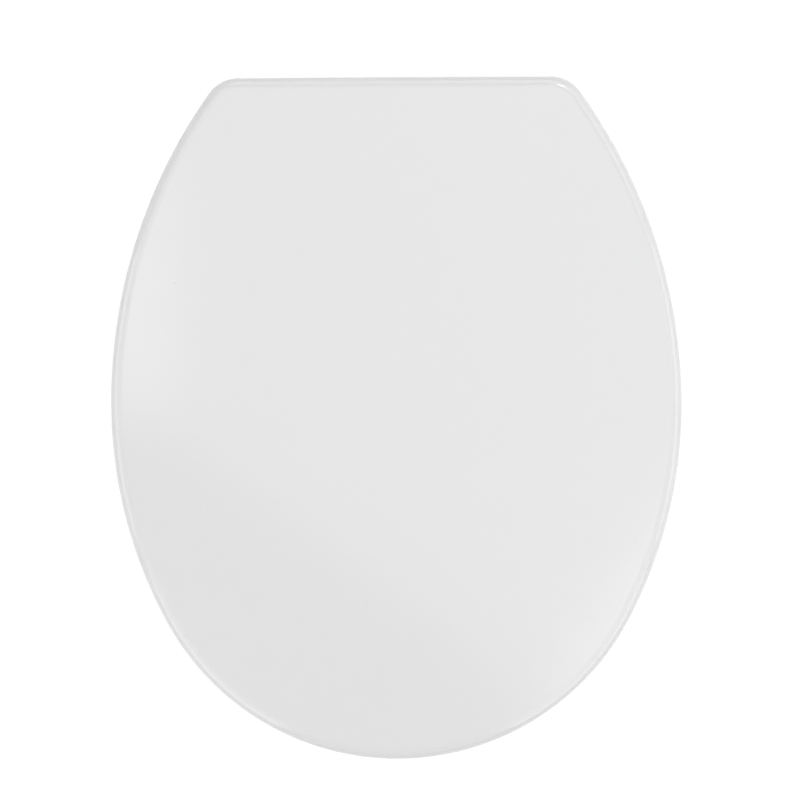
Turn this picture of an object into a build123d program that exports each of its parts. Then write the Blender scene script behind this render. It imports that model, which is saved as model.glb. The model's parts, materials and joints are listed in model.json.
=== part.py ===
"""Closed toilet seat: a moulded lid over a moulded ring, on two hinge brackets that bolt to a bowl.

Millimetres, +Z up, +Y towards the hinges. The origin lies midway between the two fixing studs, on the top
face of the bowl's rim, so the lid reaches forwards along -Y.
"""

import os
from math import atan2, cos, degrees, radians, sin, sqrt, tan

from build123d import *

# Lid outline: a straight rear edge, a tight corner, a long side, a shoulder and a round front
lid_length = 448.0
lid_width = 375.0
lid_rear_flat = 205.0  # length of the straight rear edge
lid_corner_radius = 24.0
lid_corner_turn = 54.5  # degrees that the outline turns round the rear corner
lid_front_turn = 28.0  # degrees that it turns on the shoulder, before the round front

# Lid section
lid_plate = 5.0  # thickness of the top
lid_wall = 4.5  # thickness of the skirt
lid_draft = 2.0  # degrees that the skirt leans outwards towards its lower edge
lid_crown_radius = 4000.0
lid_rim_radius = 8.0  # rounding between the top and the skirt
lid_lip_radius = 1.2  # rounding of the skirt's lower edge
lid_skirt_drop = 18.0  # from the top of the rear edge down to the skirt's lower edge

# Seat ring
ring_height = 19.0
ring_wall = 6.0
ring_skin = 6.0  # thickness of its top
ring_gap = 2.5  # between the ring's side and the inside of the lid's skirt
ring_corner_radius = 22.0
ring_outer_radius = 6.0  # rounding of its top outer edge
ring_inner_radius = 10.0  # rounding of its top edge round the opening
ring_foot_radius = 2.0  # rounding of its lower edges
opening_width = 225.0
opening_length = 270.0
ring_front_band = 58.0  # from the opening to the ring's front edge
rib_count = 16
rib_thickness = 2.5
rib_recess = 5.0  # from the ring's lower edge up to the ribs

# Hinge line
stud_spacing = 155.0
hinge_back = 22.0  # from the studs back to the hinge pins
hinge_height = 23.0  # from the bowl up to the hinge pins
lid_overhang = 8.0  # from the hinge pins back to the lid's rear edge
lid_rise = 15.0  # from the hinge pins up to the top of the lid's rear edge
rear_lip = 1.4  # what the lid's rear skirt keeps under the top, over the gap for the hinges
rear_gap_clearance = 3.3  # from a hinge pin's head to the side of that gap
ring_to_post = 5.0  # clear space between a bracket's post and the ring behind the opening

# Hinge parts
pin_radius = 3.0
pin_head_radius = 5.0
pin_head = 2.0  # thickness of the head
pin_tail = 1.5  # what shows of the pin beyond its clip
clip_radius = 5.0
clip_thickness = 2.0
bush_wall = 1.5
bush_flange = 0.8
bush_flange_radius = 6.5
lug_width = 10.0
lug_radius = 7.0
lug_reach = 24.0  # how far forwards of the pins a lid lug's rib runs
lug_root = 12.0  # how far a ring lug is bedded in the ring
post_size = 16.0  # width and depth of a bracket's post
arm_thickness = 12.0  # also across the round end that holds the pin
bracket_rounding = 1.5  # of the foot's top edge
bracket_edge = 0.8  # rounding along the sides of the post and its arm
foot_radius = 20.0
foot_thickness = 4.0
gasket_thickness = 2.0
gasket_margin = 1.0  # what the gasket shows round the foot

# Bowl fixings
stud_radius = 3.0  # plain middle of the stud
stud_thread_radius = 2.7  # threaded ends, at the thread's middle depth
stud_grip = 12.5  # thread inside the bracket
stud_hole_spare = 1.5  # depth of the bracket's hole beyond the stud
bowl_thickness = 18.0  # rim that the studs pass through
stud_length_below = 68.0  # from the bowl's top face to the stud's lower end
stud_end_chamfer = 1.0
cone_height = 6.0
cone_top_radius = 8.5
cone_base_radius = 12.0
washer_radius = 13.0
washer_thickness = 1.6
nut_hub_radius = 7.0
nut_hub_height = 10.0
nut_wing_span = 42.0
nut_wing_drop = 16.0  # from the nut's seat down to its wing tips
nut_wing_thickness = 4.0
nut_wing_radius = 2.0
nut_edge = 0.8  # rounding along the sides of the wings

# Buffers
ring_buffer_length = 36.0
ring_buffer_width = 14.0
ring_buffer_height = 8.0
ring_buffer_rounding = 2.0
lid_buffer_radius = 8.0
lid_buffer_height = 5.0
lid_buffer_rounding = 1.5
buffer_stem_radius = 2.5
buffer_stem = 5.0
buffer_boss_margin = 1.5  # boss beyond the buffer that it carries
ring_buffer_turn = 45.0  # degrees round the ring from its widest place
lid_buffer_front_turn = 60.0
lid_buffer_rear_turn = 25.0

# Clearances
running_clearance = 0.05  # radial, between a bush and its pin
push_clearance = 0.02  # radial, where one piece is pushed on or into another
side_clearance = 0.2  # between a bush's flange and the bracket
hole_clearance = 0.4  # radial, round a stud

# Heights and places that follow
rear_y = hinge_back + lid_overhang
front_y = rear_y - lid_length
lid_middle_y = rear_y - lid_length / 2
crown_z = hinge_height + lid_rise + lid_crown_radius - sqrt(lid_crown_radius**2 - (lid_length / 2) ** 2)
skirt_z = hinge_height + lid_rise - lid_skirt_drop
ring_bottom_z = ring_buffer_height
ring_top_z = ring_bottom_z + ring_height
ring_inset = lid_wall + ring_gap
ring_rear_y = -post_size / 2 - ring_to_post
ring_front_y = front_y + ring_inset
opening_y = ring_front_y + ring_front_band + opening_length / 2
stud_x = stud_spacing / 2
post_inner_x = stud_x - post_size / 2
post_outer_x = stud_x + post_size / 2
flange_space = bush_flange + side_clearance
ring_lug_x = post_inner_x - flange_space - lug_width
lid_lug_x = post_outer_x + flange_space
head_x = lid_lug_x + lug_width + side_clearance
clip_x = ring_lug_x - side_clearance - clip_thickness
rear_gap_x = head_x + pin_head + rear_gap_clearance
rear_gap_z = hinge_height + lid_rise - lid_plate - rear_lip
bush_radius = pin_radius + running_clearance + bush_wall
foot_top_z = gasket_thickness + foot_thickness
lid_buffer_top_z = ring_top_z + lid_buffer_height
nut_seat_z = -bowl_thickness - cone_height - washer_thickness

# Outline radii that follow from the overall size
turn = radians(lid_corner_turn)
front_turn = radians(lid_front_turn)
side_radius = (lid_width / 2 - lid_rear_flat / 2 - lid_corner_radius * sin(turn)) / (1 - sin(turn))
widest_drop = lid_corner_radius * (1 - cos(turn)) + side_radius * cos(turn)
front_reach = lid_length - widest_drop
front_share = sin(front_turn) * cos(front_turn) - (1 - cos(front_turn)) * (1 - sin(front_turn))
shoulder_radius = (front_reach * cos(front_turn) - lid_width / 2 * (1 - sin(front_turn))) / front_share
front_radius = (lid_width / 2 * sin(front_turn) - front_reach * (1 - cos(front_turn))) / front_share

SIDES = {"left": -1, "right": 1}


def lid_outline(inset):
    """Face inside the lid's outline, drawn this far in from it: arcs on the same centres, tangent to each other."""
    corner_at = 90 - lid_corner_turn
    corner = Vector(lid_rear_flat / 2, rear_y - lid_corner_radius)
    side = corner + Vector(lid_corner_radius - side_radius, 0).rotate(Axis.Z, corner_at)
    shoulder = side + Vector(side_radius - shoulder_radius, 0)
    front = shoulder + Vector(shoulder_radius - front_radius, 0).rotate(Axis.Z, -lid_front_turn)
    with BuildSketch() as outline:
        with BuildLine():
            CenterArc(corner, lid_corner_radius - inset, 90, -lid_corner_turn)
            CenterArc(side, side_radius - inset, corner_at, -corner_at)
            CenterArc(shoulder, shoulder_radius - inset, 0, -lid_front_turn)
            mirror(about=Plane.YZ)
            CenterArc(front, front_radius - inset, -lid_front_turn, 2 * lid_front_turn - 180)
            Line((-lid_rear_flat / 2, rear_y - inset), (lid_rear_flat / 2, rear_y - inset))
        make_face()
    return outline.sketch


def lid_form(inset, depth, rounding):
    """Crowned block inside the lid's outline, from the skirt's lower edge up, with its top this deep under the lid's."""
    with BuildPart() as form:
        for height in (0, crown_z + lid_plate - skirt_z):
            with BuildSketch(Plane.XY.offset(skirt_z + height)):
                add(lid_outline(inset + height * tan(radians(lid_draft))))
        loft(ruled=True)
        with Locations((0, lid_middle_y, crown_z - lid_crown_radius)):
            Sphere(lid_crown_radius - depth, rotation=(90, 0, 0), mode=Mode.INTERSECT)
        fillet(form.faces().sort_by(Axis.Z)[-1].edges(), radius=rounding)
    return form.part


def lid_skin_z(x, y, depth):
    """Height of the lid's crowned skin at a place, this deep under its top."""
    across = x**2 + (y - lid_middle_y) ** 2
    return crown_z - lid_crown_radius + sqrt((lid_crown_radius - depth) ** 2 - across)


def ring_outline(inset):
    """Face of the ring this far in from its edges: outer edge, straight rear edge and oval opening."""
    with BuildSketch() as outline:
        add(lid_outline(ring_inset + inset))
        with Locations((0, ring_rear_y - inset)):
            Rectangle(lid_width, lid_length, align=(Align.CENTER, Align.MIN), mode=Mode.SUBTRACT)
        fillet(outline.vertices().group_by(Axis.Y)[-1], radius=ring_corner_radius - inset)
        with Locations((0, opening_y)):
            Ellipse(opening_width / 2 + inset, opening_length / 2 + inset, mode=Mode.SUBTRACT)
    return outline.sketch


def ring_ribs():
    """Faces of the ribs that cross the hollow under the ring, like spokes round the opening, bedded in its walls."""
    with BuildSketch() as spokes:
        with Locations((0, opening_y)):
            with PolarLocations(lid_length / 2, rib_count, start_angle=180 / rib_count):
                Rectangle(lid_length, rib_thickness)
        add(ring_outline(ring_wall / 2), mode=Mode.INTERSECT)
    return spokes.sketch


def band_point(turn_deg, towards):
    """Place on the middle line of the ring's band, on the right, this far round from the side.

    The second value is 1 towards the hinges and -1 towards the front.
    """
    reach = ring_rear_y - opening_y if towards > 0 else opening_y - ring_front_y
    across = (lid_width / 2 - ring_inset + opening_width / 2) / 2
    along = (reach + opening_length / 2) / 2
    return across * cos(radians(turn_deg)), opening_y + towards * along * sin(radians(turn_deg))


def band_turn(x, y):
    """Degrees that a piece at this place on the right of the ring is turned by, to lie along the band."""
    return degrees(atan2(y - opening_y, x)) + 90


def span(side, inner, outer):
    """Plane across X, facing +X, at the lower end of a stretch of one side, and the stretch's length."""
    return Plane.YZ.offset(min(side * inner, side * outer)), outer - inner


def turned(z):
    """Horizontal plane at this height that faces down."""
    return Plane.XY.offset(z).rotated((180, 0, 0))


def nut_wing(middle_x, direction):
    """One wing of the nut on the stud at this place, out along +X or -X, with its root inside the hub."""
    root_x = middle_x + direction * nut_hub_radius / 2
    tip_x = middle_x + direction * nut_wing_span / 2
    with BuildPart() as wing:
        with BuildSketch(Plane.XZ) as outline:
            with BuildLine():
                Polyline(
                    (root_x, nut_seat_z - nut_wing_radius),
                    (tip_x, nut_seat_z - nut_wing_drop / 2),
                    (tip_x, nut_seat_z - nut_wing_drop),
                    (tip_x - direction * nut_hub_radius, nut_seat_z - nut_wing_drop),
                    (root_x, nut_seat_z - nut_hub_height),
                    close=True,
                )
            make_face()
            tips = outline.vertices().sort_by_distance((middle_x, nut_seat_z))[2:]
            fillet(tips, radius=nut_wing_radius)
        extrude(amount=nut_wing_thickness / 2, both=True)
        fillet(wing.faces().filter_by(Axis.Y).edges(), radius=nut_edge)
    return wing.part


def write(piece, name):
    """Labels a finished piece and writes its file."""
    piece.label = name
    export_step(piece, f"parts/{name}.step")


os.makedirs("parts", exist_ok=True)
ring_buffer_places = {"front": band_point(ring_buffer_turn, -1), "rear": band_point(ring_buffer_turn, 1)}
lid_buffer_places = {"front": band_point(lid_buffer_front_turn, -1), "rear": band_point(lid_buffer_rear_turn, 1)}

# Lid: crowned shell, a gap in its rear skirt for the hinges, two lugs under its rear edge and four buffer bosses
with BuildPart() as lid:
    add(lid_form(0, 0, lid_rim_radius))
    fillet(lid.faces().sort_by(Axis.Z)[0].edges(), radius=lid_lip_radius)
    add(lid_form(lid_wall, lid_plate, lid_rim_radius - lid_wall), mode=Mode.SUBTRACT)
    with BuildSketch(Plane.XZ.offset(-rear_y - lid_wall)):
        with Locations((0, rear_gap_z)):
            Rectangle(2 * rear_gap_x, lid_rise + lid_skirt_drop, align=(Align.CENTER, Align.MAX))
    extrude(amount=3 * lid_wall, mode=Mode.SUBTRACT)
    for side in SIDES.values():
        lug_plane, lug_length = span(side, lid_lug_x, lid_lug_x + lug_width)
        rib_front_y = hinge_back - lug_reach
        rib_back_y = hinge_back + lug_radius / 2
        with BuildSketch(lug_plane):
            with Locations((hinge_back, hinge_height)):
                Circle(lug_radius)
            with BuildLine():
                Polyline(
                    (hinge_back + lug_radius, hinge_height),
                    (rib_back_y, lid_skin_z(lid_lug_x, rib_back_y, lid_plate / 2)),
                    (rib_front_y, lid_skin_z(lid_lug_x, rib_front_y, lid_plate / 2)),
                    (hinge_back - lug_radius, hinge_height),
                    close=True,
                )
            make_face()
        extrude(amount=lug_length)
        with BuildSketch(lug_plane):
            with Locations((hinge_back, hinge_height)):
                Circle(bush_radius + push_clearance)
        extrude(amount=lug_length, mode=Mode.SUBTRACT)
        for x, y in lid_buffer_places.values():
            boss_top_z = lid_skin_z(x, y, lid_plate / 2)
            with BuildSketch(Plane.XY.offset(lid_buffer_top_z)):
                with Locations((side * x, y)):
                    Circle(lid_buffer_radius + buffer_boss_margin)
            extrude(amount=boss_top_z - lid_buffer_top_z)
            with BuildSketch(Plane.XY.offset(lid_buffer_top_z)):
                with Locations((side * x, y)):
                    Circle(buffer_stem_radius + push_clearance)
            extrude(amount=buffer_stem, mode=Mode.SUBTRACT)
write(lid.part, "lid")

# Seat ring: rounded band, hollow and ribbed underneath, with four buffer bosses and two lugs back to the pins
with BuildPart() as seat_ring:
    with BuildSketch(Plane.XY.offset(ring_bottom_z)):
        add(ring_outline(0))
    extrude(amount=ring_height)
    ring_top = seat_ring.faces().sort_by(Axis.Z)[-1]
    ring_foot = seat_ring.faces().sort_by(Axis.Z)[0]
    ring_rims = [ring_top.outer_wire().edges(), ring_top.inner_wires()[0].edges(), ring_foot.edges()]
    fillet(ring_rims[0], radius=ring_outer_radius)
    fillet(ring_rims[1], radius=ring_inner_radius)
    fillet(ring_rims[2], radius=ring_foot_radius)
    with BuildSketch(Plane.XY.offset(ring_bottom_z)):
        add(ring_outline(ring_wall))
    extrude(amount=ring_height - ring_skin, mode=Mode.SUBTRACT)
    with BuildSketch(Plane.XY.offset(ring_bottom_z + rib_recess)):
        add(ring_ribs())
    extrude(amount=ring_height - ring_skin / 2 - rib_recess)
    for side in SIDES.values():
        lug_plane, lug_length = span(side, ring_lug_x, ring_lug_x + lug_width)
        with BuildSketch(lug_plane):
            with Locations((hinge_back, hinge_height)):
                Circle(lug_radius)
            with BuildLine():
                Polyline(
                    (hinge_back, hinge_height + lug_radius),
                    (ring_rear_y - lug_root, ring_top_z - ring_skin / 2),
                    (ring_rear_y - lug_root, ring_top_z - ring_skin / 2 - lug_radius * 2),
                    (hinge_back, hinge_height - lug_radius),
                    close=True,
                )
            make_face()
        extrude(amount=lug_length)
        with BuildSketch(lug_plane):
            with Locations((hinge_back, hinge_height)):
                Circle(bush_radius + push_clearance)
        extrude(amount=lug_length, mode=Mode.SUBTRACT)
        for x, y in ring_buffer_places.values():
            with BuildSketch(Plane.XY.offset(ring_bottom_z)):
                with Locations(Location((side * x, y), side * band_turn(x, y))):
                    SlotOverall(
                        ring_buffer_length + 2 * buffer_boss_margin,
                        ring_buffer_width + 2 * buffer_boss_margin,
                    )
            extrude(amount=ring_height - ring_skin / 2)
            with BuildSketch(Plane.XY.offset(ring_bottom_z)):
                with Locations((side * x, y)):
                    Circle(buffer_stem_radius + push_clearance)
            extrude(amount=buffer_stem + push_clearance, mode=Mode.SUBTRACT)
write(seat_ring.part, "seat_ring")

for hand, side in SIDES.items():
    # Hinge bracket: round foot, square post on the stud and a round-ended arm back to the pin
    post_plane, post_width = span(side, post_inner_x, post_outer_x)
    with BuildPart() as hinge_bracket:
        with BuildSketch(post_plane):
            with Locations((0, foot_top_z)):
                Rectangle(
                    post_size,
                    hinge_height + arm_thickness / 2 - foot_top_z,
                    align=(Align.CENTER, Align.MIN),
                )
            with Locations((0, hinge_height)):
                Rectangle(hinge_back, arm_thickness, align=(Align.MIN, Align.CENTER))
            with Locations((hinge_back, hinge_height)):
                Circle(arm_thickness / 2)
        extrude(amount=post_width)
        upper_edges = hinge_bracket.edges().filter_by(Axis.X).group_by(Axis.Z)[-1]
        fillet(upper_edges.sort_by(Axis.Y)[0], radius=arm_thickness / 3)
        fillet(hinge_bracket.faces().filter_by(Axis.X).edges(), radius=bracket_edge)
        with BuildSketch(Plane.XY.offset(gasket_thickness)):
            with Locations((side * stud_x, 0)):
                Circle(foot_radius)
        extrude(amount=foot_thickness)
        foot_rims = hinge_bracket.edges().filter_by(GeomType.CIRCLE).group_by(SortBy.RADIUS)[-1]
        fillet(foot_rims.group_by(Axis.Z)[-1], radius=bracket_rounding)
        with BuildSketch(post_plane):
            with Locations((hinge_back, hinge_height)):
                Circle(pin_radius + push_clearance)
        extrude(amount=post_width, mode=Mode.SUBTRACT)
        with BuildSketch(Plane.XY.offset(gasket_thickness)):
            with Locations((side * stud_x, 0)):
                Circle(stud_thread_radius + push_clearance)
        extrude(amount=stud_grip + stud_hole_spare, mode=Mode.SUBTRACT)
    write(hinge_bracket.part, f"hinge_bracket_{hand}")

    # Hinge pin: head outside the lid's lug, tail through the clip inside the ring's lug
    pin_plane, pin_length = span(side, clip_x - pin_tail, head_x)
    head_plane, head_length = span(side, head_x, head_x + pin_head)
    with BuildPart() as hinge_pin:
        with BuildSketch(pin_plane):
            with Locations((hinge_back, hinge_height)):
                Circle(pin_radius)
        extrude(amount=pin_length)
        with BuildSketch(head_plane):
            with Locations((hinge_back, hinge_height)):
                Circle(pin_head_radius)
        extrude(amount=head_length)
        pin_ends = hinge_pin.faces().sort_by(Axis.X)
        outer_end = pin_ends[-1] if side > 0 else pin_ends[0]
        inner_end = pin_ends[0] if side > 0 else pin_ends[-1]
        pin_rims = [outer_end.edges(), inner_end.edges()]
        fillet(pin_rims[0], radius=pin_head / 2)
        chamfer(pin_rims[1], length=pin_tail / 3)
    write(hinge_pin.part, f"hinge_pin_{hand}")

    # Push-on clip that keeps the pin in
    clip_plane, clip_length = span(side, clip_x, clip_x + clip_thickness)
    with BuildPart() as pin_clip:
        with BuildSketch(clip_plane):
            with Locations((hinge_back, hinge_height)):
                Circle(clip_radius)
                Circle(pin_radius + push_clearance, mode=Mode.SUBTRACT)
        extrude(amount=clip_length)
        clip_rims = pin_clip.edges().filter_by(GeomType.CIRCLE).group_by(SortBy.RADIUS)[-1]
        fillet(clip_rims, radius=clip_thickness / 4)
    write(pin_clip.part, f"pin_clip_{hand}")

    # Flanged bushes: sleeves in the lugs, flanges against the bracket
    bush_spans = {
        "ring_bush": (ring_lug_x, ring_lug_x + lug_width, ring_lug_x + lug_width + bush_flange),
        "lid_bush": (lid_lug_x - bush_flange, lid_lug_x, lid_lug_x + lug_width),
    }
    for name, (inner_x, middle_x, outer_x) in bush_spans.items():
        bush_plane, bush_length = span(side, inner_x, outer_x)
        flange_first = name == "lid_bush"
        flange_ends = (inner_x, middle_x) if flange_first else (middle_x, outer_x)
        flange_plane, flange_length = span(side, *flange_ends)
        with BuildPart() as bush:
            with BuildSketch(bush_plane):
                with Locations((hinge_back, hinge_height)):
                    Circle(bush_radius)
            extrude(amount=bush_length)
            with BuildSketch(flange_plane):
                with Locations((hinge_back, hinge_height)):
                    Circle(bush_flange_radius)
            extrude(amount=flange_length)
            with BuildSketch(bush_plane):
                with Locations((hinge_back, hinge_height)):
                    Circle(pin_radius + running_clearance)
            extrude(amount=bush_length, mode=Mode.SUBTRACT)
        write(bush.part, f"{name}_{hand}")

    # Soft gasket under the foot
    with BuildPart() as base_gasket:
        with BuildSketch():
            with Locations((side * stud_x, 0)):
                Circle(foot_radius + gasket_margin)
                Circle(stud_radius + hole_clearance, mode=Mode.SUBTRACT)
        extrude(amount=gasket_thickness)
    write(base_gasket.part, f"base_gasket_{hand}")

    # Fixing stud: thread in the bracket, plain through the bowl's rim, thread below it
    with BuildPart() as fixing_stud:
        with BuildSketch(turned(gasket_thickness + stud_grip)):
            with Locations((side * stud_x, 0)):
                Circle(stud_thread_radius)
        extrude(amount=gasket_thickness + stud_grip + stud_length_below)
        stud_tip = fixing_stud.faces().sort_by(Axis.Z)[0].edges()
        chamfer(stud_tip, length=stud_end_chamfer)
        with BuildSketch(turned(0)):
            with Locations((side * stud_x, 0)):
                Circle(stud_radius)
        extrude(amount=bowl_thickness)
    write(fixing_stud.part, f"fixing_stud_{hand}")

    # Rubber cone that centres the stud under the bowl
    cone_top_z = -bowl_thickness
    with BuildPart() as cone_washer:
        with BuildSketch(Plane.XZ):
            with BuildLine():
                Polyline(
                    (side * stud_x + stud_thread_radius + hole_clearance, cone_top_z),
                    (side * stud_x + cone_top_radius, cone_top_z),
                    (side * stud_x + cone_base_radius, cone_top_z - cone_height),
                    (side * stud_x + stud_thread_radius + hole_clearance, cone_top_z - cone_height),
                    close=True,
                )
            make_face()
        revolve(axis=Axis((side * stud_x, 0, 0), (0, 0, 1)))
    write(cone_washer.part, f"cone_washer_{hand}")

    # Flat steel washer
    with BuildPart() as flat_washer:
        with BuildSketch(turned(-bowl_thickness - cone_height)):
            with Locations((side * stud_x, 0)):
                Circle(washer_radius)
                Circle(stud_thread_radius + hole_clearance, mode=Mode.SUBTRACT)
        extrude(amount=washer_thickness)
    write(flat_washer.part, f"flat_washer_{hand}")

    # Wing nut: round hub with two wings that flare downwards
    with BuildPart() as wing_nut:
        with BuildSketch(turned(nut_seat_z)):
            with Locations((side * stud_x, 0)):
                Circle(nut_hub_radius)
        extrude(amount=nut_hub_height)
        fillet(wing_nut.edges(), radius=nut_edge)
        for wing in (-1, 1):
            add(nut_wing(side * stud_x, wing))
        with BuildSketch(turned(nut_seat_z)):
            with Locations((side * stud_x, 0)):
                Circle(stud_thread_radius + push_clearance)
        extrude(amount=nut_hub_height, mode=Mode.SUBTRACT)
    write(wing_nut.part, f"wing_nut_{hand}")

    # Ring buffers: long soft pads that stand on the bowl, each with a stem in its boss
    for end, (x, y) in ring_buffer_places.items():
        with BuildPart() as ring_buffer:
            with BuildSketch():
                with Locations(Location((side * x, y), side * band_turn(x, y))):
                    SlotOverall(ring_buffer_length, ring_buffer_width)
            extrude(amount=ring_buffer_height)
            fillet(ring_buffer.faces().sort_by(Axis.Z)[0].edges(), radius=ring_buffer_rounding)
            with BuildSketch(Plane.XY.offset(ring_bottom_z)):
                with Locations((side * x, y)):
                    Circle(buffer_stem_radius)
            extrude(amount=buffer_stem)
        write(ring_buffer.part, f"ring_buffer_{end}_{hand}")

    # Lid buffers: round soft pads that stand on the ring, each with a stem in its boss
    for end, (x, y) in lid_buffer_places.items():
        with BuildPart() as lid_buffer:
            with BuildSketch(Plane.XY.offset(ring_top_z)):
                with Locations((side * x, y)):
                    Circle(lid_buffer_radius)
            extrude(amount=lid_buffer_height)
            fillet(lid_buffer.faces().sort_by(Axis.Z)[0].edges(), radius=lid_buffer_rounding)
            with BuildSketch(Plane.XY.offset(lid_buffer_top_z)):
                with Locations((side * x, y)):
                    Circle(buffer_stem_radius)
            extrude(amount=buffer_stem)
        write(lid_buffer.part, f"lid_buffer_{end}_{hand}")
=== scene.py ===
"""Looks of a closed toilet seat: glossy moulded lid and ring, satin steel hinges and fixings for a bowl.

Metres, in the part's own frame: +Z up, +Y towards the hinges, origin midway between the two fixing studs.
"""

from __future__ import annotations

import json
import logging
import math
from abc import ABC, abstractmethod
from collections.abc import Mapping, Sequence
from dataclasses import dataclass, field
from enum import Enum

import bmesh
import bpy
from mathutils import Matrix, Quaternion, Vector

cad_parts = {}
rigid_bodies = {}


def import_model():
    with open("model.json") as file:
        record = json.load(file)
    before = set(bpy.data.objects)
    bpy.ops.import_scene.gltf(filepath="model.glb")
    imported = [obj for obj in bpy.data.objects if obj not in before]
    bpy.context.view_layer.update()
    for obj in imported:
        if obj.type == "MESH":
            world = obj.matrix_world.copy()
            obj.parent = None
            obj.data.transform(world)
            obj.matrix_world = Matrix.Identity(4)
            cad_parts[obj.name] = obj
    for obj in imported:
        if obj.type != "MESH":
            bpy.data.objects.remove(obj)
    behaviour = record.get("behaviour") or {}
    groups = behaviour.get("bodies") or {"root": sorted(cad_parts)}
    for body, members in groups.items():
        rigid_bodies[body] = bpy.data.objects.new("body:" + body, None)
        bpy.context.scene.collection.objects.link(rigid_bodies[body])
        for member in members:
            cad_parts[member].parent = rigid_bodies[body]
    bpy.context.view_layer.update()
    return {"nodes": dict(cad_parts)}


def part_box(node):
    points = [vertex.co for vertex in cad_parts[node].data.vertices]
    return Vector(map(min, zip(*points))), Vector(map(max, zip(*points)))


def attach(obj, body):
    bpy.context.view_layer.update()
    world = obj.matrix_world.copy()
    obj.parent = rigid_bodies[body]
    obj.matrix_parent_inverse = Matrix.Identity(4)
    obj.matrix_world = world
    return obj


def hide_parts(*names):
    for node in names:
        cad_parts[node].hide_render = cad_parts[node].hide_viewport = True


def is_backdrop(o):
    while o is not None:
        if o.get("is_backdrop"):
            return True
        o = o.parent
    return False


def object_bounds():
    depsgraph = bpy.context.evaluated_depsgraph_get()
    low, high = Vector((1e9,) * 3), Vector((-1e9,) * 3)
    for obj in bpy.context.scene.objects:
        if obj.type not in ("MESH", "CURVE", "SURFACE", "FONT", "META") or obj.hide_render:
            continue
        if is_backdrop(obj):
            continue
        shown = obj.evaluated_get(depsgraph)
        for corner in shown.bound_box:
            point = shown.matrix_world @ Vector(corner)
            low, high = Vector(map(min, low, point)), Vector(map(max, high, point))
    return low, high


log = logging.getLogger("toilet_seat")

Triple = tuple[float, float, float]
Colour = Triple

PICTURE_PIXELS = 800
MM = 0.001
LID_MIDDLE: Triple = (0.0, -0.19, 0.04)
EVEN: Triple = (1.0, 1.0, 1.0)
BLACK: Colour = (0.0, 0.0, 0.0)
NOISE_MIDDLE = 0.5
NOISE_ROUGHNESS = 0.55
POLYMER_IOR = 1.5
# Places of the Mix node's colour sockets, which share their names with its number sockets.
MIX_DARK = 6
MIX_LIGHT = 7
MIX_RESULT = 2


class Hand(Enum):
    """The two mirrored halves of the seat."""

    LEFT = "left"
    RIGHT = "right"


class End(Enum):
    """The two ends of the seat that its buffers stand at."""

    FRONT = "front"
    REAR = "rear"


class Body(Enum):
    """The bodies that the hinges join."""

    MOUNTING = "mounting"
    SEAT = "seat"
    COVER = "cover"


class Bearing(Enum):
    """Directions round the lid, in degrees from its right side towards its rear."""

    RIGHT = 0.0
    REAR = 90.0
    REAR_LEFT = 135.0
    LEFT = 180.0
    FRONT_LEFT = 225.0
    FRONT = 270.0
    FRONT_RIGHT = 315.0


class Value:
    """A number socket of a shader that takes part in Python expressions."""

    def __init__(self, graph: Graph, socket: bpy.types.NodeSocket) -> None:
        """Keeps the socket and the graph that new nodes go into."""
        self.graph = graph
        self.socket = socket

    def _combine(self, operation: str, first: Value | float, second: Value | float) -> Value:
        """Adds a Math node for one operation.

        Args:
            operation: Blender's name of the operation.
            first: The left operand.
            second: The right operand.

        Returns:
            The node's result.
        """
        node = self.graph.node("ShaderNodeMath", {"operation": operation}, {0: first, 1: second})
        return Value(self.graph, node.outputs[0])

    def __add__(self, other: Value | float) -> Value:
        """The sum."""
        return self._combine("ADD", self, other)

    __radd__ = __add__

    def __sub__(self, other: Value | float) -> Value:
        """The difference."""
        return self._combine("SUBTRACT", self, other)

    def __rsub__(self, other: float) -> Value:
        """The difference, with the number first."""
        return self._combine("SUBTRACT", other, self)

    def __mul__(self, other: Value | float) -> Value:
        """The product."""
        return self._combine("MULTIPLY", self, other)

    __rmul__ = __mul__

    def __lt__(self, other: Value | float) -> Value:
        """One where this is the smaller, zero elsewhere."""
        return self._combine("LESS_THAN", self, other)

    def __or__(self, other: Value | float) -> Value:
        """The larger of the two."""
        return self._combine("MAXIMUM", self, other)


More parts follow.
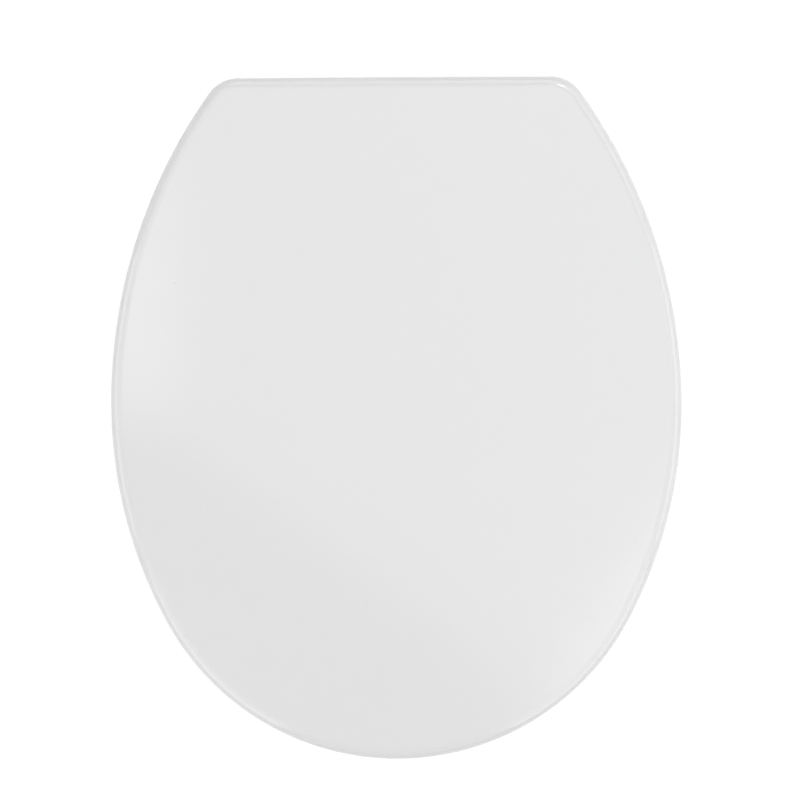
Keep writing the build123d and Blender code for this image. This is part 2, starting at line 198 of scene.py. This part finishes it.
class Graph:
    """The node tree of one material or world."""

    def __init__(self, tree: bpy.types.NodeTree) -> None:
        """Empties the tree.

        Args:
            tree: The node tree to fill.
        """
        self.tree = tree
        tree.nodes.clear()

    def node(
        self,
        kind: str,
        settings: Mapping[str, object] | None = None,
        sockets: Mapping[str | int, object] | None = None,
    ) -> bpy.types.Node:
        """Adds a node.

        Args:
            kind: Blender's type name.
            settings: Properties of the node, set first.
            sockets: Values or links of its inputs, by name or place.

        Returns:
            The node.
        """
        made = self.tree.nodes.new(kind)
        for name, value in (settings or {}).items():
            setattr(made, name, value)
        for key, value in (sockets or {}).items():
            if isinstance(value, Value):
                value = value.socket
            if isinstance(value, bpy.types.NodeSocket):
                self.tree.links.new(value, made.inputs[key])
            else:
                made.inputs[key].default_value = value
        return made

    def place(self, stretch: Triple = EVEN) -> bpy.types.NodeSocket:
        """Object coordinates.

        Args:
            stretch: Factors along the three axes.

        Returns:
            A vector socket.
        """
        coords = self.node("ShaderNodeTexCoord")
        sockets = {"Vector": coords.outputs["Object"], "Scale": stretch}
        return self.node("ShaderNodeMapping", None, sockets).outputs["Vector"]

    def noise(self, scale: float, detail: float, stretch: Triple = EVEN) -> Value:
        """A noise in object coordinates, from zero to one and about a half in the mean.

        Args:
            scale: Waves to the metre.
            detail: Octaves.
            stretch: Factors along the three axes.

        Returns:
            Its value.
        """
        sockets = {
            "Vector": self.place(stretch),
            "Scale": scale,
            "Detail": detail,
            "Roughness": NOISE_ROUGHNESS,
        }
        return Value(self, self.node("ShaderNodeTexNoise", None, sockets).outputs[0])

    def tone(self, dark: Colour, light: Colour, share: Value) -> bpy.types.NodeSocket:
        """A colour between two others.

        Args:
            dark: The colour at zero.
            light: The colour at one.
            share: Where between them.

        Returns:
            A colour socket.
        """
        sockets = {"Factor": share, MIX_DARK: (*dark, 1.0), MIX_LIGHT: (*light, 1.0)}
        return self.node("ShaderNodeMix", {"data_type": "RGBA"}, sockets).outputs[MIX_RESULT]

    def bump(self, height: Value, strength: float, distance: float) -> bpy.types.NodeSocket:
        """A normal roughened by a height.

        Args:
            height: The height, from zero to one.
            strength: How much of it shows.
            distance: Metres that a height of one stands for.

        Returns:
            A normal socket.
        """
        sockets = {"Height": height, "Strength": strength, "Distance": distance}
        return self.node("ShaderNodeBump", None, sockets).outputs["Normal"]

    def surface(self, **sockets: object) -> None:
        """Ends the graph in a Principled shader.

        Args:
            sockets: The shader's inputs, with underscores for spaces.
        """
        named = {name.replace("_", " "): value for name, value in sockets.items()}
        shader = self.node("ShaderNodeBsdfPrincipled", None, named)
        self.node("ShaderNodeOutputMaterial", None, {"Surface": shader.outputs[0]})


def scaled(colour: Colour, factor: float) -> Colour:
    """The colour, lighter or darker by a factor."""
    return (colour[0] * factor, colour[1] * factor, colour[2] * factor)


def grey(level: float) -> tuple[float, float, float, float]:
    """A grey for a colour socket, white at a level of one."""
    return (level, level, level, 1.0)


@dataclass(frozen=True)
class Finish(ABC):
    """What one material looks like.

    Attributes:
        name: The material's name.
        colour: Its main colour, linear.
        roughness: Its mean roughness.
    """

    name: str
    colour: Colour
    roughness: float

    @abstractmethod
    def fill(self, graph: Graph) -> None:
        """Builds the nodes.

        Args:
            graph: The material's graph.
        """

    def material(self) -> bpy.types.Material:
        """Makes the material when it is first asked for.

        Returns:
            The material.
        """
        found = bpy.data.materials.get(self.name)
        if found is None:
            found = bpy.data.materials.new(self.name)
            found.use_nodes = True
            self.fill(Graph(found.node_tree))
        return found

    def dress(self, piece: bpy.types.Object) -> bpy.types.Object:
        """Puts the material on a piece.

        Args:
            piece: The piece.

        Returns:
            The same piece.
        """
        piece.data.materials.clear()
        piece.data.materials.append(self.material())
        return piece


@dataclass(frozen=True)
class PolishedMoulding(Finish):
    """Hard white plastic from a polished mould: faint flow marks, fine grain, dust and a slight ripple.

    Attributes:
        flow: How far the flow marks darken the colour.
        flow_scale: Flow marks to the metre.
        grain: How far the fine grain darkens it.
        grain_scale: Grains to the metre.
        dust: How far a speck of dust darkens it.
        dust_scale: Specks to the metre, along each axis.
        dust_size: Radius of a speck, as a share of the space between specks.
        smudge: Range of roughness that faint smudges give.
        smudge_scale: Smudges to the metre.
        ripple: Depth of the ripple in the gloss, in metres.
        ripple_scale: Waves of the ripple to the metre.
    """

    flow: float = 0.012
    flow_scale: float = 7.0
    grain: float = 0.02
    grain_scale: float = 900.0
    dust: float = 0.1
    dust_scale: float = 21.0
    dust_size: float = 0.012
    smudge: float = 0.05
    smudge_scale: float = 16.0
    ripple: float = 2e-6
    ripple_scale: float = 90.0

    def fill(self, graph: Graph) -> None:
        """Builds the nodes.

        Args:
            graph: The material's graph.
        """
        flow = graph.noise(self.flow_scale, detail=3.0)
        grain = graph.noise(self.grain_scale, detail=1.0)
        sockets = {"Vector": graph.place(), "Scale": self.dust_scale, "Randomness": 1.0}
        cells = graph.node("ShaderNodeTexVoronoi", None, sockets)
        speck = Value(graph, cells.outputs["Distance"]) < self.dust_size
        lightness = 1.0 - self.flow * flow - self.grain * grain - self.dust * speck
        colour = graph.tone(BLACK, self.colour, lightness)
        smudge = graph.noise(self.smudge_scale, detail=4.0)
        ripple = graph.noise(self.ripple_scale, detail=1.0)
        graph.surface(
            Base_Color=colour,
            Roughness=self.roughness + self.smudge * (smudge - NOISE_MIDDLE),
            Normal=graph.bump(ripple, 1.0, self.ripple),
            IOR=POLYMER_IOR,
        )


@dataclass(frozen=True)
class SatinMoulding(Finish):
    """Plastic from an eroded mould, with a fine even grain.

    Attributes:
        darkest: Share of the colour where it is darkest.
        cloud_scale: Clouds in the colour to the metre.
        grain: Range of roughness that the grain gives.
        grain_scale: Grains to the metre.
        grain_depth: Depth of the grain, in metres.
        grain_strength: How much of that depth shows.
    """

    darkest: float = 0.9
    cloud_scale: float = 60.0
    grain: float = 0.12
    grain_scale: float = 4000.0
    grain_depth: float = 4e-5
    grain_strength: float = 0.5

    def fill(self, graph: Graph) -> None:
        """Builds the nodes.

        Args:
            graph: The material's graph.
        """
        cloud = graph.noise(self.cloud_scale, detail=3.0)
        grain = graph.noise(self.grain_scale, detail=2.0)
        graph.surface(
            Base_Color=graph.tone(scaled(self.colour, self.darkest), self.colour, cloud),
            Roughness=self.roughness + self.grain * (grain - NOISE_MIDDLE),
            Normal=graph.bump(grain, self.grain_strength, self.grain_depth),
            IOR=POLYMER_IOR,
        )


@dataclass(frozen=True)
class SoftRubber(Finish):
    """Matt rubber with a dusty bloom and a fine tooth.

    Attributes:
        darkest: Share of the colour where it is darkest.
        lightest: Share of the colour where it is lightest.
        bloom: Range of roughness that the bloom gives.
        bloom_scale: Patches of bloom to the metre.
        tooth_scale: Teeth to the metre.
        tooth_depth: Depth of the tooth, in metres.
        tooth_strength: How much of that depth shows.
    """

    darkest: float = 0.8
    lightest: float = 1.1
    bloom: float = 0.15
    bloom_scale: float = 120.0
    tooth_scale: float = 2600.0
    tooth_depth: float = 6e-5
    tooth_strength: float = 0.6

    def fill(self, graph: Graph) -> None:
        """Builds the nodes.

        Args:
            graph: The material's graph.
        """
        bloom = graph.noise(self.bloom_scale, detail=4.0)
        tooth = graph.noise(self.tooth_scale, detail=2.0)
        dark = scaled(self.colour, self.darkest)
        light = scaled(self.colour, self.lightest)
        graph.surface(
            Base_Color=graph.tone(dark, light, bloom),
            Roughness=self.roughness + self.bloom * (bloom - NOISE_MIDDLE),
            Normal=graph.bump(tooth, self.tooth_strength, self.tooth_depth),
            IOR=POLYMER_IOR,
        )


@dataclass(frozen=True)
class SatinSteel(Finish):
    """Steel with fine lines from finishing.

    Attributes:
        stretch: Factors along the axes that draw the noise out into lines.
        darkest: Share of the colour where it is darkest.
        lightest: Share of the colour where it is lightest.
        line_share: Share of the lines in that, beside clouds.
        line: Range of roughness that the lines give.
        line_scale: Lines to the metre.
        line_depth: Depth of the lines, in metres.
        line_strength: How much of that depth shows.
        cloud: Range of roughness that the clouds give.
        cloud_scale: Clouds to the metre.
    """

    stretch: Triple = (0.04, 1.0, 1.0)
    darkest: float = 0.82
    lightest: float = 1.05
    line_share: float = 0.6
    line: float = 0.16
    line_scale: float = 2500.0
    line_depth: float = 3e-5
    line_strength: float = 0.35
    cloud: float = 0.1
    cloud_scale: float = 90.0

    def fill(self, graph: Graph) -> None:
        """Builds the nodes.

        Args:
            graph: The material's graph.
        """
        line = graph.noise(self.line_scale, detail=3.0, stretch=self.stretch)
        cloud = graph.noise(self.cloud_scale, detail=3.0)
        dark = scaled(self.colour, self.darkest)
        light = scaled(self.colour, self.lightest)
        share = self.line_share * line + (1.0 - self.line_share) * cloud
        lined = self.roughness + self.line * (line - NOISE_MIDDLE)
        graph.surface(
            Base_Color=graph.tone(dark, light, share),
            Roughness=lined + self.cloud * (cloud - NOISE_MIDDLE),
            Normal=graph.bump(line, self.line_strength, self.line_depth),
            Metallic=1.0,
        )


LID_GLOSS = PolishedMoulding("lid_gloss", (0.76, 0.76, 0.763), 0.12)
RING_GLOSS = PolishedMoulding("ring_gloss", (0.74, 0.74, 0.742), 0.14)
BUSH_PLASTIC = SatinMoulding("bush_plastic", (0.70, 0.70, 0.67), 0.42)
NUT_PLASTIC = SatinMoulding("nut_plastic", (0.68, 0.68, 0.66), 0.40)
GASKET_RUBBER = SoftRubber("gasket_rubber", (0.50, 0.50, 0.49), 0.72)
BUFFER_RUBBER = SoftRubber("buffer_rubber", (0.62, 0.62, 0.61), 0.58)
CONE_RUBBER = SoftRubber("cone_rubber", (0.035, 0.035, 0.036), 0.70)
HINGE_STEEL = SatinSteel("hinge_steel", (0.66, 0.66, 0.65), 0.30, stretch=(1.0, 0.05, 1.0))
PIN_STEEL = SatinSteel("pin_steel", (0.68, 0.68, 0.67), 0.22, stretch=(1.0, 0.06, 0.06))
CLIP_STEEL = SatinSteel("clip_steel", (0.58, 0.58, 0.57), 0.34)
STUD_STEEL = SatinSteel("stud_steel", (0.62, 0.62, 0.60), 0.28, stretch=(0.1, 0.1, 1.0))
WASHER_STEEL = SatinSteel("washer_steel", (0.62, 0.62, 0.61), 0.30)


def piece_from(
    mesh: bmesh.types.BMesh,
    name: str,
    body: Body,
    sharp_deg: float,
) -> bpy.types.Object:
    """Makes an object of a finished mesh and lets it ride on its body.

    Args:
        mesh: The mesh, which is freed.
        name: The piece's name.
        body: The body that it moves with.
        sharp_deg: Edges that turn by more than this stay sharp.

    Returns:
        The object.
    """
    data = bpy.data.meshes.new(name)
    mesh.to_mesh(data)
    mesh.free()
    data.shade_smooth()
    data.set_sharp_from_angle(angle=math.radians(sharp_deg))
    piece = bpy.data.objects.new(name, data)
    bpy.context.scene.collection.objects.link(piece)
    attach(piece, body.value)
    return piece


@dataclass
class HingedShell:
    """A moulded shell that turns on the hinge pins, with its bushes and buffers.

    Attributes:
        nodes: The frame's nodes, by name.
        body: The body that it is.
        shell: Name of the shell's own node.
        family: What the names of its bushes and buffers begin with.
        gloss: The shell's finish.
    """

    nodes: Mapping[str, bpy.types.Object]
    body: Body
    shell: str
    family: str
    gloss: Finish

    def build(self) -> list[bpy.types.Object]:
        """Dresses the shell, its bushes and its buffers.

        Returns:
            The pieces.
        """
        pieces = [self.gloss.dress(self.nodes[self.shell])]
        for hand in Hand:
            pieces.append(BUSH_PLASTIC.dress(self.nodes[f"{self.family}_bush_{hand.value}"]))
            for end in End:
                buffer = self.nodes[f"{self.family}_buffer_{end.value}_{hand.value}"]
                pieces.append(BUFFER_RUBBER.dress(buffer))
        return pieces


@dataclass
class Seat(HingedShell):
    """The ring with its bushes and buffers."""

    body: Body = Body.SEAT
    shell: str = "seat_ring"
    family: str = "ring"
    gloss: Finish = RING_GLOSS


@dataclass
class Cover(HingedShell):
    """The lid with its bushes and buffers."""

    body: Body = Body.COVER
    shell: str = "lid"
    family: str = "lid"
    gloss: Finish = LID_GLOSS


@dataclass
class FixingStud:
    """A stud with a rolled thread, which stands for its plain solid.

    Attributes:
        hand: Which of the two it is.
        shank_length: The plain stretch through the bowl's rim, down from the bowl's top face.
        grip_radius: The stretch inside the bracket, out of sight and left plain.
        crest_radius: Outside of the thread.
        root_radius: Bottom of the thread.
        pitch: Rise of the thread in one turn.
        flat: Share of the pitch that root and crest are each flat for.
        spare_turns: Turns that are spun past each end and cut off again.
        tip: Height of the tapered end.
        ease: Width of the eased edges.
        segments: Sides of the round stretches.
        sharp_deg: Edges that turn by more than this stay sharp.
        level: Difference in height below which an edge is level.
        merge: Distance within which neighbouring turns are joined.
    """

    hand: Hand
    shank_length: float = 18.0 * MM
    grip_radius: float = 2.7 * MM
    crest_radius: float = 2.95 * MM
    root_radius: float = 2.45 * MM
    pitch: float = 1.0 * MM
    flat: float = 0.13
    spare_turns: int = 2
    tip: float = 1.0 * MM
    ease: float = 0.25 * MM
    segments: int = 32
    sharp_deg: float = 35.0
    level: float = 1e-7
    merge: float = 2e-6

    def _round(
        self,
        mesh: bmesh.types.BMesh,
        centre: Vector,
        radius: float,
        low: float,
        high: float,
    ) -> None:
        """Adds a plain round stretch with eased ends.

        Args:
            mesh: The mesh to add to.
            centre: A point on the axis.
            radius: Its radius.
            low: Its lower end.
            high: Its upper end.
        """
        made = bmesh.ops.create_cone(
            mesh,
            cap_ends=True,
            segments=self.segments,
            radius1=radius,
            radius2=radius,
            depth=high - low,
            matrix=Matrix.Translation((centre.x, centre.y, (low + high) / 2)),
        )
        edges = {edge for vert in made["verts"] for edge in vert.link_edges}
        rims = [edge for edge in edges if abs(edge.verts[0].co.z - edge.verts[1].co.z) < self.level]
        bmesh.ops.bevel(
            mesh,
            geom=rims,
            offset=self.ease,
            segments=2,
            profile=0.5,
            affect="EDGES",
            material=-1,
        )

    def _thread(self, centre: Vector, low: float, high: float) -> bmesh.types.BMesh:
        """A threaded stretch, closed at both ends.

        Args:
            centre: A point on the axis.
            low: Its lower end.
            high: Its upper end.

        Returns:
            The mesh.
        """
        mesh = bmesh.new()
        start = low - self.spare_turns * self.pitch
        shape = (
            (self.root_radius, 0.0),
            (self.root_radius, self.flat),
            (self.crest_radius, 0.5),
            (self.crest_radius, 0.5 + self.flat),
            (self.root_radius, 1.0),
        )
        tooth = [
            mesh.verts.new((centre.x + radius, centre.y, start + share * self.pitch))
            for radius, share in shape
        ]
        edges = [mesh.edges.new(pair) for pair in zip(tooth, tooth[1:])]
        turns = math.ceil((high - low) / self.pitch) + 2 * self.spare_turns
        bmesh.ops.spin(
            mesh,
            geom=tooth + edges,
            cent=centre,
            axis=(0, 0, 1),
            dvec=(0, 0, self.pitch / self.segments),
            angle=turns * math.tau,
            steps=turns * self.segments,
            use_merge=False,
        )
        bmesh.ops.remove_doubles(mesh, verts=mesh.verts, dist=self.merge)
        for height, outward in ((high, 1), (low, -1)):
            bmesh.ops.bisect_plane(
                mesh,
                geom=mesh.verts[:] + mesh.edges[:] + mesh.faces[:],
                plane_co=(centre.x, centre.y, height),
                plane_no=(0, 0, outward),
                clear_outer=True,
            )
        open_edges = [edge for edge in mesh.edges if edge.is_boundary]
        bmesh.ops.holes_fill(mesh, edges=open_edges)
        for vert in mesh.verts:
            from_axis = Vector((vert.co.x - centre.x, vert.co.y - centre.y))
            widest = self.crest_radius - max(0.0, low + self.tip - vert.co.z)
            if from_axis.length > widest:
                from_axis *= widest / from_axis.length
                vert.co.x = centre.x + from_axis.x
                vert.co.y = centre.y + from_axis.y
        bmesh.ops.recalc_face_normals(mesh, faces=mesh.faces)
        return mesh

    def build(self) -> bpy.types.Object:
        """Builds and dresses the stud.

        Returns:
            The piece.
        """
        node = f"fixing_stud_{self.hand.value}"
        low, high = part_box(node)
        centre = (low + high) / 2
        radius = (high.x - low.x) / 2
        mesh = self._thread(centre, low.z, -self.shank_length)
        self._round(mesh, centre, radius, -self.shank_length, 0.0)
        self._round(mesh, centre, self.grip_radius, 0.0, high.z)
        name = f"threaded_stud_{self.hand.value}"
        piece = piece_from(mesh, name, Body.MOUNTING, self.sharp_deg)
        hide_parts(node)
        return STUD_STEEL.dress(piece)


@dataclass
class Mounting:
    """The hinge brackets and what holds them to a bowl.

    Attributes:
        nodes: The frame's nodes, by name.
        body: The body that it is.
        finishes: Finishes of its pieces, by their names without the hand.
    """

    nodes: Mapping[str, bpy.types.Object]
    body: Body = Body.MOUNTING
    finishes: Mapping[str, Finish] = field(
        default_factory=lambda: {
            "hinge_bracket": HINGE_STEEL,
            "hinge_pin": PIN_STEEL,
            "pin_clip": CLIP_STEEL,
            "base_gasket": GASKET_RUBBER,
            "cone_washer": CONE_RUBBER,
            "flat_washer": WASHER_STEEL,
            "wing_nut": NUT_PLASTIC,
        }
    )

    def build(self) -> list[bpy.types.Object]:
        """Builds the studs and dresses the other pieces.

        Returns:
            The pieces.
        """
        pieces = []
        for hand in Hand:
            pieces.append(FixingStud(hand).build())
            for name, finish in self.finishes.items():
                pieces.append(finish.dress(self.nodes[f"{name}_{hand.value}"]))
        return pieces


@dataclass(frozen=True)
class Softbox:
    """A rectangular lamp.

    Attributes:
        name: Its name.
        at: Where it hangs.
        width: Its breadth.
        height: Its other side.
        glow: Its radiance, where one is white.
        turn: Degrees that it is turned about its own axis.
        aim: Where it faces; without one it faces straight down.
    """

    name: str
    at: Triple
    width: float
    height: float
    glow: float
    turn: float = 0.0
    aim: Triple | None = None

    def build(self) -> None:
        """Hangs the lamp."""
        data = bpy.data.lights.new(self.name, "AREA")
        data.shape = "RECTANGLE"
        data.size = self.width
        data.size_y = self.height
        data.energy = self.glow * math.pi * self.width * self.height
        lamp = bpy.data.objects.new(self.name, data)
        lamp.location = self.at
        towards = Vector(self.aim) - Vector(self.at) if self.aim else Vector((0, 0, -1))
        own_turn = Quaternion((0, 0, 1), math.radians(self.turn))
        lamp.rotation_euler = (towards.to_track_quat("-Z", "Y") @ own_turn).to_euler()
        bpy.context.scene.collection.objects.link(lamp)


@dataclass(frozen=True)
class LampRing:
    """Softboxes of one size round the lid, all facing its middle.

    Attributes:
        name: What their names begin with.
        radius: How far out they hang from the lid's middle.
        level: How high they hang.
        width: Their breadth.
        height: Their other side.
        glows: Their radiance, by bearing.
    """

    name: str
    radius: float
    level: float
    width: float
    height: float
    glows: Mapping[Bearing, float]

    def softboxes(self) -> list[Softbox]:
        """Works out where the lamps hang.

        Returns:
            The lamps.
        """
        lamps = []
        for bearing, glow in self.glows.items():
            angle = math.radians(bearing.value)
            across = LID_MIDDLE[0] + self.radius * math.cos(angle)
            along = LID_MIDDLE[1] + self.radius * math.sin(angle)
            name = f"{self.name}_{bearing.name.lower()}"
            at = (across, along, self.level)
            lamps.append(Softbox(name, at, self.width, self.height, glow, aim=LID_MIDDLE))
        return lamps


@dataclass
class Studio:
    """Floor, lamps and white surroundings.

    Attributes:
        ambient: Radiance of the surroundings as light.
        floor_size: Side of the floor.
        floor_gap: What the floor lies below the lowest piece.
        floor_paper: Grey of the floor where it only throws light back.
        floor_shade: Grey of the floor where it is seen, which takes the shadow.
        floor_white: Radiance added to that, so that it looks white.
        softboxes: Lamps with places of their own.
        rings: Lamps round the lid.
    """

    ambient: float = 0.04
    floor_size: float = 12.0
    floor_gap: float = 0.5 * MM
    floor_paper: float = 0.8
    floor_shade: float = 0.12
    floor_white: float = 0.93
    softboxes: Sequence[Softbox] = (
        Softbox("ceiling", (0.38, 0.2, 2.2), width=2.2, height=1.6, glow=1.05, turn=-36.0),
        Softbox("overhead_left", (-0.6, 0.0, 1.4), width=0.6, height=0.4, glow=1.1),
        Softbox("overhead_front_left", (-0.44, -0.6, 1.4), width=0.35, height=0.5, glow=0.3, turn=33.5),
        Softbox("overhead_front_right", (0.454, -0.577, 1.4), width=0.35, height=0.5, glow=1.6, turn=-32.0),
        Softbox("side_rear_right", (1.12, 0.93, 0.885), width=1.25, height=0.6, glow=1.7, aim=LID_MIDDLE),
        Softbox("corner_light", (0.665, 1.22, 1.41), width=0.34, height=0.45, glow=11.0, aim=LID_MIDDLE),
    )
    rings: Sequence[LampRing] = (
        LampRing(
            "high",
            radius=1.2,
            level=1.38,
            width=1.0,
            height=0.6,
            glows={
                Bearing.RIGHT: 0.5,
                Bearing.REAR_LEFT: 1.6,
                Bearing.LEFT: 0.6,
                Bearing.FRONT_LEFT: 1.2,
                Bearing.FRONT_RIGHT: 1.5,
            },
        ),
        LampRing(
            "side",
            radius=1.7,
            level=0.63,
            width=1.3,
            height=0.9,
            glows={
                Bearing.RIGHT: 1.9,
                Bearing.REAR: 1.6,
                Bearing.LEFT: 2.1,
                Bearing.FRONT_LEFT: 2.4,
                Bearing.FRONT: 0.35,
                Bearing.FRONT_RIGHT: 2.2,
            },
        ),
    )

    @staticmethod
    def seen(graph: Graph) -> Value:
        """A mask of the rays that show a thing, directly, in a reflection or through glass.

        Args:
            graph: The graph to add to.

        Returns:
            One for those rays, zero for those that only bring light.
        """
        path = graph.node("ShaderNodeLightPath")
        camera = Value(graph, path.outputs["Is Camera Ray"])
        glossy = Value(graph, path.outputs["Is Glossy Ray"])
        transmission = Value(graph, path.outputs["Is Transmission Ray"])
        return camera | glossy | transmission

    def _world(self) -> None:
        """Makes the surroundings white where they are seen, and faint and even as light."""
        world = bpy.data.worlds.new("surroundings")
        world.use_nodes = True
        bpy.context.scene.world = world
        graph = Graph(world.node_tree)
        strength = self.ambient + (1.0 - self.ambient) * self.seen(graph)
        light = graph.node("ShaderNodeBackground", None, {"Color": grey(1.0), "Strength": strength})
        graph.node("ShaderNodeOutputWorld", None, {"Surface": light.outputs[0]})

    def _paper(self) -> bpy.types.Material:
        """Makes the floor's material, which looks white and keeps the shadow.

        Returns:
            The material.
        """
        material = bpy.data.materials.new("floor_paper")
        material.use_nodes = True
        graph = Graph(material.node_tree)
        paper = graph.node("ShaderNodeBsdfDiffuse", None, {"Color": grey(self.floor_paper)})
        shade = graph.node("ShaderNodeBsdfDiffuse", None, {"Color": grey(self.floor_shade)})
        white = graph.node("ShaderNodeEmission", None, {"Color": grey(1.0), "Strength": self.floor_white})
        lit = graph.node("ShaderNodeAddShader", None, {0: shade.outputs[0], 1: white.outputs[0]})
        shown = {0: self.seen(graph), 1: paper.outputs[0], 2: lit.outputs[0]}
        mixed = graph.node("ShaderNodeMixShader", None, shown)
        graph.node("ShaderNodeOutputMaterial", None, {"Surface": mixed.outputs[0]})
        return material

    def _floor(self) -> None:
        """Lays the pale floor under the part."""
        low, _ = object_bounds()
        mesh = bmesh.new()
        at = Matrix.Translation((0, 0, low.z - self.floor_gap))
        bmesh.ops.create_grid(mesh, x_segments=1, y_segments=1, size=self.floor_size / 2, matrix=at)
        data = bpy.data.meshes.new("floor")
        mesh.to_mesh(data)
        mesh.free()
        floor = bpy.data.objects.new("floor", data)
        bpy.context.scene.collection.objects.link(floor)
        floor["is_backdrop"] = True
        data.materials.append(self._paper())

    def build(self) -> None:
        """Sets up the studio."""
        self._world()
        self._floor()
        lamps = list(self.softboxes)
        for ring in self.rings:
            lamps.extend(ring.softboxes())
        for lamp in lamps:
            lamp.build()
        bpy.context.scene.view_settings.view_transform = "Standard"
        log.info("studio: floor and %d lamps", len(lamps))


@dataclass
class Viewpoint:
    """The camera, high above the lid and a touch to its left.

    Attributes:
        aim: The place at the height of the lid's rim that it looks at.
        lean_left: Degrees that it leans from upright towards -X.
        roll: Degrees that it is turned about its own axis.
        distance: From the aim to the lens.
        pixel: What a pixel of the picture is wide at the aim.
        sensor: Width of the sensor, in millimetres.
    """

    aim: Triple = (2.11 * MM, -182.24 * MM, 38.0 * MM)
    lean_left: float = 0.79
    roll: float = 0.406
    distance: float = 2.5
    pixel: float = 0.6543 * MM
    sensor: float = 36.0

    def build(self) -> None:
        """Makes the camera."""
        lean = math.radians(self.lean_left)
        back = Vector((-math.sin(lean), 0.0, math.cos(lean)))
        roll = math.radians(self.roll)
        right = Vector((math.sin(roll), math.cos(roll), 0.0)).cross(back).normalized()
        up = back.cross(right)
        data = bpy.data.cameras.new("camera")
        data.sensor_width = self.sensor
        data.lens = self.sensor * self.distance / (PICTURE_PIXELS * self.pixel)
        camera = bpy.data.objects.new("camera", data)
        turn = Matrix((right, up, back)).transposed().to_4x4()
        camera.matrix_world = Matrix.Translation(Vector(self.aim) + back * self.distance) @ turn
        bpy.context.scene.collection.objects.link(camera)
        bpy.context.scene.camera = camera


def main() -> None:
    """Builds the whole scene and reports each piece."""
    logging.basicConfig(level=logging.INFO, format="%(name)s: %(message)s")
    for thing in list(bpy.data.objects):
        bpy.data.objects.remove(thing)
    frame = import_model()
    nodes = frame["nodes"]
    for assembly in (Mounting(nodes), Seat(nodes), Cover(nodes)):
        for piece in assembly.build():
            log.info("%s: %s in %s", assembly.body.value, piece.name, piece.data.materials[0].name)
    Studio().build()
    Viewpoint().build()


if __name__ == "__main__":
    main()
